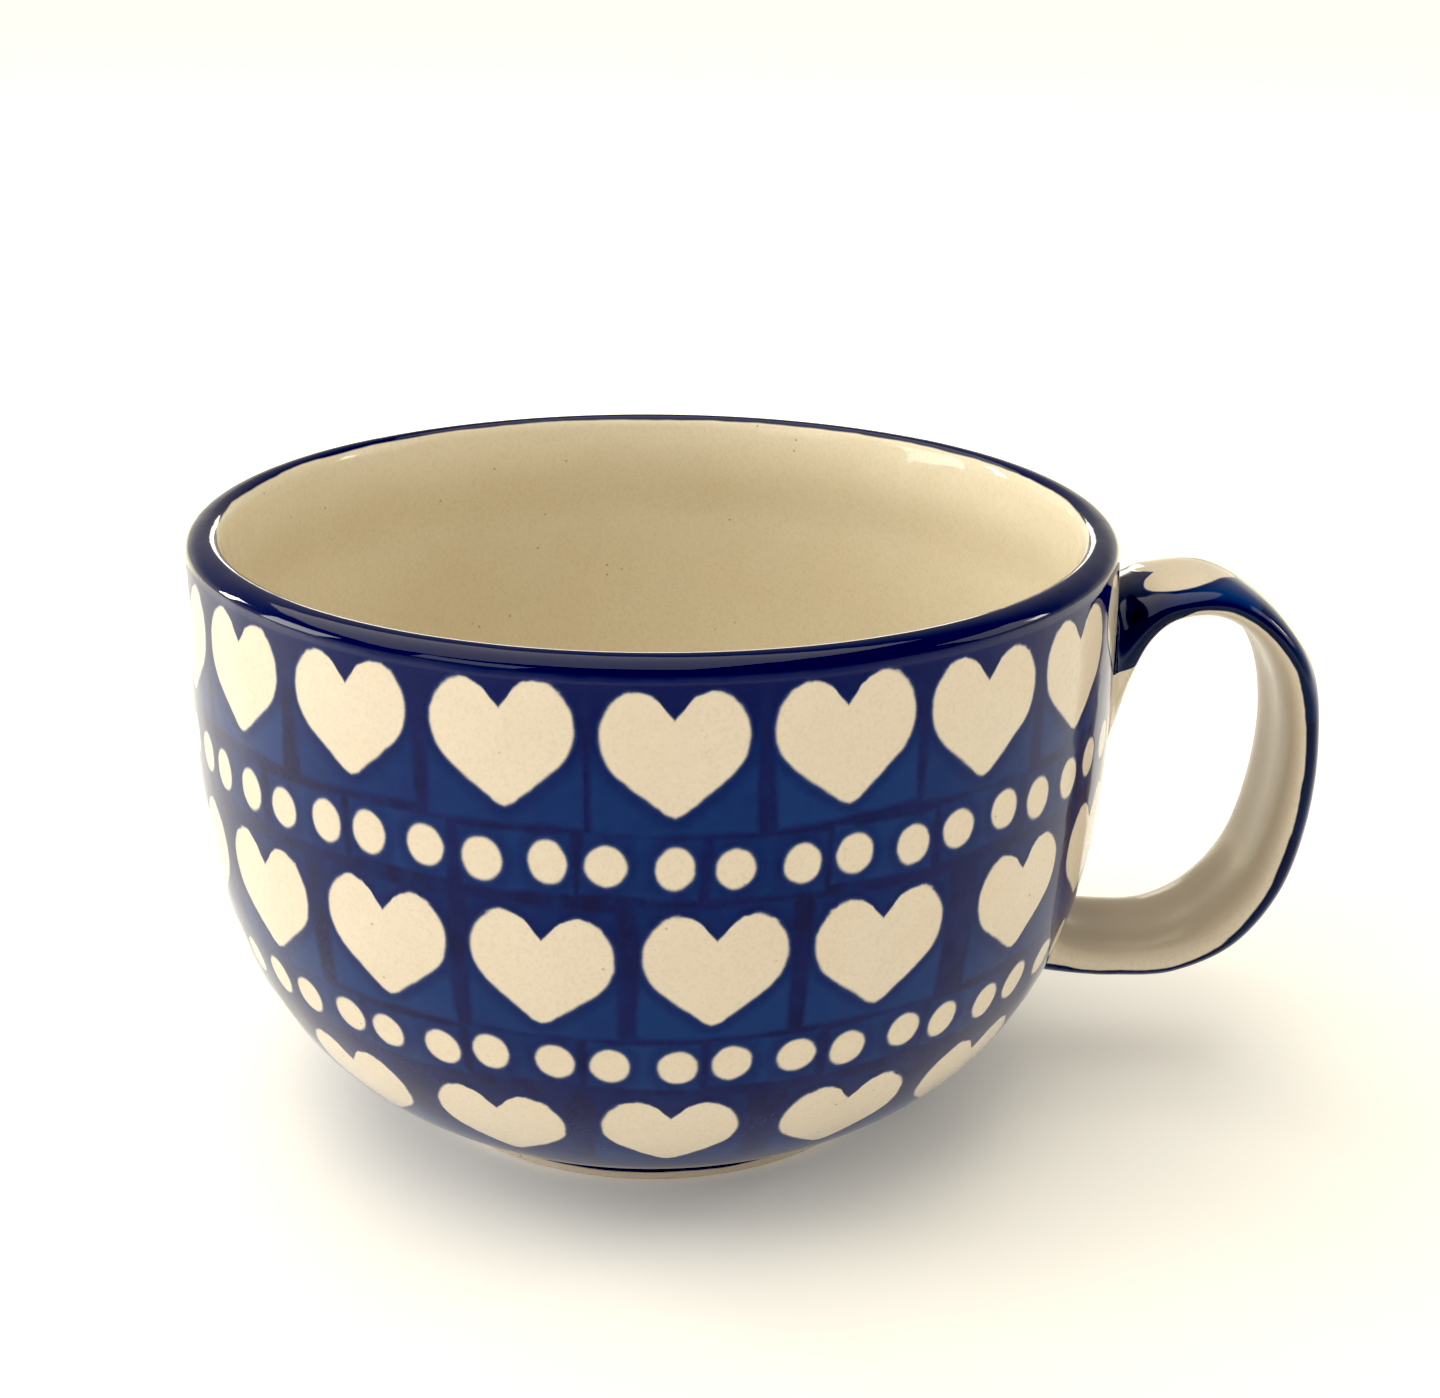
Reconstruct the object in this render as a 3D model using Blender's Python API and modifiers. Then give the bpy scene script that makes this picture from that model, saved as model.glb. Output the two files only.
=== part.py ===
"""Folk-style stoneware mug: a wide, low, round-bottomed cup on a turned foot ring,
with a flat strap handle luted to the wall by two clay roots.

Metres, +Z up. The origin is on the table, at the centre of the bounding box.
The handle points along +X and the cup's own axis stands at x = AXIS_X.
"""

import math

import bmesh
import bpy

MM = 0.001

# ---- Cup -------------------------------------------------------------------
HEIGHT = 76.0 * MM  # table to the crest of the rim
BELLY_RADIUS = 57.4 * MM  # widest part of the wall
BELLY_HEIGHT = 60.0 * MM
RIM_RADIUS = 57.0 * MM  # outside of the lip
LIP_RADIUS = 1.8 * MM  # half the thickness of the rounded lip
OUTER_DEPTH = 61.5 * MM  # vertical semi-axis of the outer bowl curve
OUTER_POWER = 2.95  # superellipse power of the outer bowl curve
WALL = 3.8 * MM
FLOOR_TOP = 6.5 * MM  # inside floor above the table
INNER_POWER = 2.95
UNDERSIDE = 2.8 * MM  # flat underside of the cup above the table

# ---- Foot ring ---------------------------------------------------------------
FOOT_RADIUS = 32.2 * MM
FOOT_WIDTH = 3.2 * MM
FOOT_HEIGHT = 2.5 * MM
FOOT_ROUND = 0.45 * MM

# ---- Handle ------------------------------------------------------------------
STRAP_HALF_WIDTH = 9.2 * MM
STRAP_POWER = 0.85  # 1 is an ellipse, less is squarer
HANDLE_REACH = 85.6 * MM  # cup axis to the outermost point of the handle
GAP = 0.3 * MM  # between solids that touch
SIDES = 24
STEPS = 64

# Each design section of the strap, from the upper root round to the lower one:
# its edge away from the fingers, its edge towards them (distance from the cup's
# axis and height, in mm), and how far the sides flare past the strap's half width.
STRAP_SECTIONS = (
    ((52.0, 62.6), (52.0, 43.5), 1.9),
    ((55.8, 64.6), (57.9, 48.2), 1.3),
    ((58.3, 66.0), (59.6, 54.6), 0.8),
    ((60.9, 67.1), (61.9, 60.2), 0.4),
    ((64.2, 68.0), (65.4, 63.2), 0.1),
    ((71.6, 68.2), (70.5, 63.4), 0.0),
    ((78.6, 64.1), (75.2, 60.5), 0.0),
    ((83.8, 56.9), (78.6, 54.8), 0.0),
    ((85.5, 46.9), (80.1, 46.5), 0.0),
    ((85.2, 36.2), (79.4, 37.0), 0.0),
    ((82.7, 26.1), (76.9, 28.5), 0.0),
    ((77.1, 18.0), (72.4, 22.9), 0.0),
    ((68.6, 13.9), (67.0, 20.0), 0.0),
    ((60.5, 13.5), (60.3, 19.8), 0.1),
    ((56.0, 13.9), (56.4, 20.3), 0.5),
    ((51.5, 14.5), (53.0, 21.8), 1.0),
    ((44.0, 15.2), (46.0, 24.0), 1.8),
)
UPPER_ROOT_ENDS = 3.0  # design section where the upper root meets the strap
LOWER_ROOT_STARTS = 14.0

AXIS_X = (BELLY_RADIUS - HANDLE_REACH) / 2

# ---- Colours -----------------------------------------------------------------
COBALT = (0.018, 0.045, 0.20, 1.0)
CREAM = (0.74, 0.68, 0.54, 1.0)


def clear_scene():
    for obj in list(bpy.data.objects):
        bpy.data.objects.remove(obj, do_unlink=True)


def new_collection(name):
    collection = bpy.data.collections.new(name)
    bpy.context.scene.collection.children.link(collection)
    return collection


def glaze(name, colour, roughness):
    material = bpy.data.materials.new(name)
    material.use_nodes = True
    shader = material.node_tree.nodes["Principled BSDF"]
    shader.inputs["Base Color"].default_value = colour
    shader.inputs["Roughness"].default_value = roughness
    shader.inputs["Metallic"].default_value = 0.0
    material.diffuse_color = colour
    return material


def outer_radius(height):
    """Radius of the outside of the cup at a height above the table."""
    if height >= BELLY_HEIGHT:
        share = (height - BELLY_HEIGHT) / (HEIGHT - BELLY_HEIGHT)
        return BELLY_RADIUS + (RIM_RADIUS - BELLY_RADIUS) * share**2
    share = (BELLY_HEIGHT - height) / OUTER_DEPTH
    return BELLY_RADIUS * (1 - share**OUTER_POWER) ** (1 / OUTER_POWER)


def inner_radius(height):
    """Radius of the inside of the cup at a height above the table."""
    if height >= BELLY_HEIGHT:
        share = (height - BELLY_HEIGHT) / (HEIGHT - BELLY_HEIGHT)
        lip = RIM_RADIUS - 2 * LIP_RADIUS
        return BELLY_RADIUS - WALL + (lip - BELLY_RADIUS + WALL) * share**2
    share = (BELLY_HEIGHT - height) / (BELLY_HEIGHT - FLOOR_TOP)
    return (BELLY_RADIUS - WALL) * max(0.0, 1 - share**INNER_POWER) ** (1 / INNER_POWER)


def even_heights(radius, low, high, count):
    """Heights from low to high whose points lie evenly along the curve."""
    fine = [low + (high - low) * k / 800 for k in range(801)]
    run = [0.0]
    for k in range(1, 801):
        step = math.hypot(radius(fine[k]) - radius(fine[k - 1]), fine[k] - fine[k - 1])
        run.append(run[-1] + step)
    heights = []
    k = 0
    for n in range(count + 1):
        while k < 800 and run[k] < run[-1] * n / count:
            k += 1
        heights.append(fine[k])
    return heights


def turned(name, points, material, collection):
    """A solid turned about the cup's axis from (radius, height) points."""
    mesh = bpy.data.meshes.new(name)
    vertices = [(radius, 0.0, height) for radius, height in points]
    edges = [(k, k + 1) for k in range(len(points) - 1)]
    mesh.from_pydata(vertices, edges, [])
    obj = bpy.data.objects.new(name, mesh)
    collection.objects.link(obj)
    screw = obj.modifiers.new("Turn", "SCREW")
    screw.steps = STEPS
    screw.render_steps = STEPS
    screw.use_merge_vertices = True
    screw.merge_threshold = 0.00001
    screw.use_smooth_shade = True
    mesh.materials.append(material)
    return obj


def cup_profile():
    lip_height = HEIGHT - LIP_RADIUS
    inside = even_heights(inner_radius, FLOOR_TOP, lip_height, 16)
    points = [(inner_radius(height), height) for height in inside]
    points[0] = (0.0, FLOOR_TOP)
    centre = RIM_RADIUS - LIP_RADIUS
    for k in range(1, 8):
        angle = math.pi * (1 - k / 8)
        points.append(
            (centre + LIP_RADIUS * math.cos(angle), lip_height + LIP_RADIUS * math.sin(angle))
        )
    outside = even_heights(outer_radius, UNDERSIDE, lip_height, 20)
    points.extend((outer_radius(height), height) for height in reversed(outside))
    points.append((0.0, UNDERSIDE))
    return points


def foot_profile():
    """Ring section with rounded lower corners, closed on itself."""
    outer = FOOT_RADIUS
    inner = FOOT_RADIUS - FOOT_WIDTH
    points = [(outer, FOOT_HEIGHT)]
    for k in range(4):
        angle = -math.pi / 2 * k / 3
        points.append(
            (
                outer - FOOT_ROUND + FOOT_ROUND * math.cos(angle),
                FOOT_ROUND + FOOT_ROUND * math.sin(angle),
            )
        )
    for k in range(4):
        angle = -math.pi / 2 - math.pi / 2 * k / 3
        points.append(
            (
                inner + FOOT_ROUND + FOOT_ROUND * math.cos(angle),
                FOOT_ROUND + FOOT_ROUND * math.sin(angle),
            )
        )
    points.append((inner, FOOT_HEIGHT))
    points.append(points[0])
    return points


def blend(values, position):
    """Catmull-Rom reading of a list of numbers at a fractional position."""
    last = len(values) - 1
    base = min(int(position), last - 1)
    t = position - base
    a = values[max(base - 1, 0)]
    b = values[base]
    c = values[base + 1]
    d = values[min(base + 2, last)]
    return 0.5 * (
        2 * b
        + (c - a) * t
        + (2 * a - 5 * b + 4 * c - d) * t**2
        + (3 * b - a - 3 * c + d) * t**3
    )


def strap_section(position):
    """Points round the strap at a fractional design section."""
    away = [blend([s[0][k] for s in STRAP_SECTIONS], position) * MM for k in (0, 1)]
    near = [blend([s[1][k] for s in STRAP_SECTIONS], position) * MM for k in (0, 1)]
    flare = blend([s[2] for s in STRAP_SECTIONS], position) * MM
    half_width = STRAP_HALF_WIDTH + flare
    points = []
    for k in range(SIDES):
        angle = 2 * math.pi * k / SIDES
        across = math.copysign(abs(math.cos(angle)) ** STRAP_POWER, math.cos(angle))
        through = math.copysign(abs(math.sin(angle)) ** STRAP_POWER, math.sin(angle))
        reach = (away[0] + near[0]) / 2 + (away[0] - near[0]) / 2 * through
        height = (away[1] + near[1]) / 2 + (away[1] - near[1]) / 2 * through
        points.append((reach, half_width * across, height))
    return points


def lofted(name, start, end, count, material, collection):
    """Closed solid through the strap's sections from one position to another."""
    mesh = bpy.data.meshes.new(name)
    shape = bmesh.new()
    rings = []
    for n in range(count + 1):
        section = strap_section(start + (end - start) * n / count)
        rings.append([shape.verts.new(point) for point in section])
    for ring, following in zip(rings, rings[1:]):
        for k in range(SIDES):
            j = (k + 1) % SIDES
            shape.faces.new((ring[k], ring[j], following[j], following[k]))
    shape.faces.new(list(reversed(rings[0])))
    shape.faces.new(rings[-1])
    bmesh.ops.recalc_face_normals(shape, faces=shape.faces)
    shape.to_mesh(mesh)
    shape.free()
    mesh.shade_smooth()
    mesh.set_sharp_from_angle(angle=math.radians(50))
    mesh.materials.append(material)
    obj = bpy.data.objects.new(name, mesh)
    collection.objects.link(obj)
    return obj


def wall_cutter(collection, material):
    """The cup's outline grown by the gap, to trim what stands against the wall."""
    heights = even_heights(outer_radius, UNDERSIDE, HEIGHT, 40)
    points = [(0.0, HEIGHT + GAP)]
    points.extend((outer_radius(height) + GAP * 1.3, height) for height in reversed(heights))
    points.append((0.0, UNDERSIDE))
    cutter = turned("wall_cutter", points, material, collection)
    cutter.hide_render = True
    cutter.display_type = "WIRE"
    return cutter


def trim(obj, cutter):
    cut = obj.modifiers.new("Trim to the wall", "BOOLEAN")
    cut.operation = "DIFFERENCE"
    cut.solver = "EXACT"
    cut.object = cutter


def main():
    clear_scene()
    parts = new_collection("folk_stoneware_mug")
    cutters = new_collection("cutters")
    cobalt = glaze("cobalt_glaze", COBALT, 0.12)
    cream = glaze("cream_glaze", CREAM, 0.15)
    bare = glaze("bare_stoneware", (0.55, 0.47, 0.36, 1.0), 0.7)

    mug = bpy.data.objects.new("mug_axis", None)
    parts.objects.link(mug)
    mug.location = (AXIS_X, 0.0, 0.0)

    cup = turned("cup", cup_profile(), cobalt, parts)
    foot = turned("foot_ring", foot_profile(), bare, parts)

    cutter = wall_cutter(cutters, bare)
    last = len(STRAP_SECTIONS) - 1
    upper_end = UPPER_ROOT_ENDS
    lower_start = LOWER_ROOT_STARTS
    upper = lofted("upper_handle_root", 0.0, upper_end, 8, cobalt, parts)
    strap = lofted("strap_handle", upper_end + 0.08, lower_start - 0.08, 36, cream, parts)
    lower = lofted("lower_handle_root", lower_start, last, 6, cream, parts)
    trim(upper, cutter)
    trim(lower, cutter)

    for obj in (cup, foot, strap, upper, lower, cutter):
        obj.parent = mug


main()
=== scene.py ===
"""Folk stoneware mug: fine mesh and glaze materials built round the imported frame."""

import math

import bpy
from mathutils import Matrix, Vector


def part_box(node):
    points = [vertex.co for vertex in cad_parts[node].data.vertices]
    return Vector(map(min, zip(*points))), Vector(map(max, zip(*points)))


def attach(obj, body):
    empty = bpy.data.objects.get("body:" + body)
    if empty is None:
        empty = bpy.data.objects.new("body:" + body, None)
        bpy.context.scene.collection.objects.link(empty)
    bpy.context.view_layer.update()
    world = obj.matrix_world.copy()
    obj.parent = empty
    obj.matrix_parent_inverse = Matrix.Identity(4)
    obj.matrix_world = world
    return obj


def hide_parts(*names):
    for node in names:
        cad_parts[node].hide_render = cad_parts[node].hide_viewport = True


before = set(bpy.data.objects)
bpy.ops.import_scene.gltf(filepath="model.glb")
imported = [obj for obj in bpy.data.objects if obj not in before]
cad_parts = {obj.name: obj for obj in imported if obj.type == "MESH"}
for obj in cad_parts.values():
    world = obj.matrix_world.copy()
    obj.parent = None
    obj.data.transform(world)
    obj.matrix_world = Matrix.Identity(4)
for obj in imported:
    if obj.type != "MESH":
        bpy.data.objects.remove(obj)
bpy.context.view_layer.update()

MM = 0.001

# ---- Sizes, in mm, as in the CAD ---------------------------------------------
CUP_LOW, CUP_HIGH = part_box("cup")
AXIS_X = (CUP_LOW[0] + CUP_HIGH[0]) / 2 / MM
HEIGHT = CUP_HIGH[2] / MM
BELLY_RADIUS = (CUP_HIGH[0] - CUP_LOW[0]) / 2 / MM
BELLY_HEIGHT = 60.0
RIM_RADIUS = 57.0
LIP_HEIGHT = 1.8
LIP_OUTER = 2.8  # the crest is this far in from the rim's outside
LIP_ROUND = (1.0, 1.3)  # how far in and down the inside edge is rounded
LIP_DEPTH, LIP_SWELL = 6.5, 1.0  # below that the lip thickens by this over this depth
OUTER_DEPTH = 61.5
OUTER_POWER = 2.95
WALL = 3.8
FLOOR_TOP = 6.5
INNER_POWER = 2.95
UNDERSIDE = 2.8
FOOT_RADIUS = 32.2
FOOT_WIDTH = 3.2
FOOT_ROUND = 0.45

STRAP_HALF_WIDTH = 9.2
STRAP_POWER = 0.85
STRAP_SECTIONS = (
    ((54.9, 62.6), (54.9, 43.5), 1.9),
    ((55.8, 64.6), (57.9, 48.2), 1.3),
    ((58.3, 66.0), (59.6, 54.6), 0.8),
    ((60.9, 67.1), (61.9, 60.2), 0.4),
    ((64.2, 68.0), (65.4, 63.2), 0.1),
    ((71.6, 68.2), (70.5, 63.4), 0.0),
    ((78.6, 64.1), (75.2, 60.5), 0.0),
    ((83.8, 56.9), (78.6, 54.8), 0.0),
    ((85.5, 46.9), (80.1, 46.5), 0.0),
    ((85.2, 36.2), (79.4, 37.0), 0.0),
    ((82.7, 26.1), (76.9, 28.5), 0.0),
    ((77.1, 18.0), (72.4, 22.9), 0.0),
    ((68.6, 13.9), (67.0, 20.0), 0.0),
    ((60.5, 13.5), (60.3, 19.8), 0.1),
    ((56.0, 13.9), (56.4, 20.3), 0.5),
    ((51.5, 14.5), (53.0, 21.8), 1.0),
    ((48.2, 15.2), (50.2, 23.4), 1.7),
)
REACH_EASE = 0.9997  # keeps the finer curve inside the CAD's box
STRAP_RUN = 2.0  # the strap's run is counted from the inside face of the wall
FILLET = 2.2
FILLET_LIFT, FILLET_SHARE = 1.6, 0.75
HOLLOW = 0.20
HOLLOW_WIDTH = 4.6

# ---- Decoration, in mm: arc is measured down the wall from the rim -------------
# Hearts: arc of the row, how many, azimuth where the row starts, gap where it closes.
HEART_ROWS = (
    (9.4, 20, 1.742, 0.0),
    (34.8, 19, 0.635, 0.045),
    (60.4, 16, 1.790, 0.0),
)
# Dots: arc of the row, how many pairs, azimuth of a pair, gap between its dots.
DOT_ROWS = ((22.4, 27, -0.0449, 7.15), (47.5, 26, -0.0385, 7.3))
ROW_BREAKS = (22.4, 47.5)  # arcs where one row of hearts gives way to the next
DOT_BREAK = 35.0
DOT_RADIUS = 2.22
INSIDE_PAINT = (-3.10, -2.80)  # arcs over which the cobalt lip ends inside
INSIDE_ARC = -6.0  # further in than this the plain inside glaze takes over
STRAP_HEART_PITCH, STRAP_HEART_SCALE = 16.2, 0.86
STRAP_HEART_FIRST = 20.6  # run of the heart on top of the strap
TAIL_HEIGHTS = (57.0, 59.5)  # the cobalt of the upper root ends between these
HEART_OUTLINE = (
    (0.0, 3.7), (0.75, 4.6), (1.75, 5.85), (3.1, 6.6), (4.3, 6.75), (5.7, 6.2),
    (6.85, 5.0), (7.6, 3.5), (7.8, 2.1), (7.65, 0.6), (7.15, -0.8), (6.2, -2.1),
    (4.75, -3.4), (3.25, -4.65), (1.8, -5.85), (0.9, -6.6), (0.0, -6.95),
)


# ---- Small node language -------------------------------------------------------
class Graph:
    """Writes shader nodes as expressions."""

    def __init__(self, tree):
        self.tree = tree

    def put(self, node, socket, value):
        target = node.inputs[socket]
        if isinstance(value, bpy.types.NodeSocket):
            self.tree.links.new(value, target)
        else:
            target.default_value = value

    def math(self, operation, a, b=None, c=None, clamp=False):
        node = self.tree.nodes.new("ShaderNodeMath")
        node.operation = operation
        node.use_clamp = clamp
        for k, value in enumerate((a, b, c)):
            if value is not None:
                self.put(node, k, value)
        return node.outputs[0]

    def add(self, a, b):
        return self.math("ADD", a, b)

    def sub(self, a, b):
        return self.math("SUBTRACT", a, b)

    def mul(self, a, b):
        return self.math("MULTIPLY", a, b)

    def div(self, a, b):
        return self.math("DIVIDE", a, b)

    def muladd(self, a, b, c):
        return self.math("MULTIPLY_ADD", a, b, c)

    def absolute(self, a):
        return self.math("ABSOLUTE", a)

    def most(self, a, b):
        return self.math("MAXIMUM", a, b)

    def least(self, a, b):
        return self.math("MINIMUM", a, b)

    def above(self, a, b):
        return self.math("GREATER_THAN", a, b)

    def ramp(self, value, low, high, out_low=0.0, out_high=1.0):
        """Smooth step of a value between two limits."""
        node = self.tree.nodes.new("ShaderNodeMapRange")
        node.interpolation_type = "SMOOTHSTEP"
        for socket, number in (
            ("Value", value), ("From Min", low), ("From Max", high),
            ("To Min", out_low), ("To Max", out_high),
        ):
            self.put(node, socket, number)
        return node.outputs["Result"]

    def combine(self, x, y, z=0.0):
        node = self.tree.nodes.new("ShaderNodeCombineXYZ")
        for k, value in enumerate((x, y, z)):
            self.put(node, k, value)
        return node.outputs[0]

    def noise(self, vector, scale, detail=2.0, rough=0.5, seed=0.0):
        node = self.tree.nodes.new("ShaderNodeTexNoise")
        node.noise_dimensions = "4D"
        self.put(node, "Vector", vector)
        self.put(node, "W", seed)
        self.put(node, "Scale", scale)
        self.put(node, "Detail", detail)
        self.put(node, "Roughness", rough)
        return node.outputs[0]

    def centred_noise(self, vector, scale, amount, detail=2.0, seed=0.0):
        """Noise about zero, within roughly plus or minus the amount."""
        value = self.noise(vector, scale, detail, 0.5, seed)
        return self.muladd(value, 2.6 * amount, -1.3 * amount)

    def white(self, vector, seed):
        node = self.tree.nodes.new("ShaderNodeTexWhiteNoise")
        node.noise_dimensions = "4D"
        self.put(node, "Vector", vector)
        self.put(node, "W", seed)
        return node.outputs["Value"]

    def jitter(self, vector, seed, amount):
        return self.muladd(self.white(vector, seed), 2.0 * amount, -amount)

    def mix(self, factor, a, b):
        node = self.tree.nodes.new("ShaderNodeMix")
        node.data_type = "RGBA"
        self.put(node, 0, factor)
        for socket, value in ((6, a), (7, b)):
            if isinstance(value, tuple):
                value = (*value, 1.0)
            self.put(node, socket, value)
        return node.outputs[2]

    def choose(self, switches, values):
        """values[0], replaced by each later value where its switch is 1."""
        result = values[0]
        for switch, value in zip(switches, values[1:]):
            node = self.tree.nodes.new("ShaderNodeMix")
            self.put(node, 0, switch)
            self.put(node, 2, result)
            self.put(node, 3, value)
            result = node.outputs[0]
        return result

    def length(self, x, y):
        return self.math("SQRT", self.add(self.mul(x, x), self.mul(y, y)))


def heart_distance(graph, x, y):
    """About how far a point is outside the stamped heart, in mm: negative inside."""
    side = graph.absolute(x)
    radius = graph.length(x, y)
    angle = graph.math("ARCTAN2", side, y)
    curve = graph.tree.nodes.new("ShaderNodeFloatCurve")
    points = [
        (math.atan2(px, py) / math.pi, math.hypot(px, py) / 10) for px, py in HEART_OUTLINE
    ]
    shape = curve.mapping.curves[0]
    shape.points[0].location = points[0]
    shape.points[1].location = points[-1]
    for point in points[1:-1]:
        shape.points.new(*point)
    for point in shape.points:
        point.handle_type = "AUTO"
    curve.mapping.update()
    graph.put(curve, "Value", graph.div(angle, math.pi))
    return graph.sub(radius, graph.mul(curve.outputs[0], 10.0))


def turned_pair(graph, x, y, angle):
    """x, y turned by a small angle."""
    return graph.sub(x, graph.mul(y, angle)), graph.add(y, graph.mul(x, angle))


# ---- Colours (linear) ----------------------------------------------------------
CREAM = (0.665, 0.585, 0.470)
CREAM_WARM = (0.640, 0.543, 0.418)
CREAM_INSIDE = (0.74, 0.675, 0.53)
# painted shade: darker cream for the strap's finger face, which lies in shade
CREAM_STRAP_PAINTED_SHADE = (0.53, 0.46, 0.36)
COBALT = (0.0058, 0.0170, 0.094)
COBALT_LIGHT = (0.0086, 0.0300, 0.128)
COBALT_DEEP = (0.0045, 0.0072, 0.064)
COBALT_STRIP = (0.0075, 0.0095, 0.068)
COBALT_LINE = (0.0065, 0.0060, 0.042)
COBALT_RIM = (0.0065, 0.0085, 0.048)
# painted shade: darker cobalt for the strap's side faces and the crease by the upper root
COBALT_PAINTED_SHADE = (0.0080, 0.0105, 0.028)
HALO = (0.045, 0.085, 0.20)
SPECK = (0.30, 0.21, 0.15)
DRY_DARK, DRY_LIGHT = (0.42, 0.33, 0.23), (0.60, 0.50, 0.37)
GLOSS = 0.3


def new_material(name):
    material = bpy.data.materials.new(name)
    material.use_nodes = True
    tree = material.node_tree
    shader = tree.nodes["Principled BSDF"]
    return material, Graph(tree), shader


def object_position(graph):
    """The point in mm from the cup's axis."""
    coordinates = graph.tree.nodes.new("ShaderNodeTexCoord")
    scale = graph.tree.nodes.new("ShaderNodeVectorMath")
    scale.operation = "MULTIPLY_ADD"
    graph.put(scale, 0, coordinates.outputs["Object"])
    scale.inputs[1].default_value = (1 / MM, 1 / MM, 1 / MM)
    scale.inputs[2].default_value = (-AXIS_X, 0.0, 0.0)
    return scale.outputs[0]


def bump(graph, shader, height, distance, strength=1.0):
    node = graph.tree.nodes.new("ShaderNodeBump")
    graph.put(node, "Height", height)
    node.inputs["Distance"].default_value = distance * MM
    node.inputs["Strength"].default_value = strength
    graph.tree.links.new(node.outputs["Normal"], shader.inputs["Normal"])


def cream_colour(graph, place, cream=CREAM):
    """Cream glaze with soft warm drifts, fine sandy grain and sparse iron specks."""
    warm = tuple(c * w / b for c, w, b in zip(cream, CREAM_WARM, CREAM))
    drift = graph.ramp(graph.noise(place, 0.09, 3.0, 0.55, 3.1), 0.35, 0.68)
    base = graph.mix(graph.mul(drift, 0.45), cream, warm)
    grain = graph.noise(place, 2.4, 3.0, 0.7, 9.0)
    sandy = tuple(c * k for c, k in zip(cream, (0.82, 0.80, 0.76)))
    base = graph.mix(graph.ramp(grain, 0.42, 0.72, 0.0, 0.5), base, sandy)
    cells = graph.tree.nodes.new("ShaderNodeTexVoronoi")
    cells.feature = "F1"
    graph.put(cells, "Vector", place)
    cells.inputs["Scale"].default_value = 0.42
    rare = graph.above(graph.white(cells.outputs["Position"], 5.0), 0.80)
    speck = graph.mul(rare, graph.ramp(cells.outputs["Distance"], 0.05, 0.11, 1.0, 0.0))
    return graph.mix(graph.mul(speck, 0.6), base, SPECK)


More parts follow.
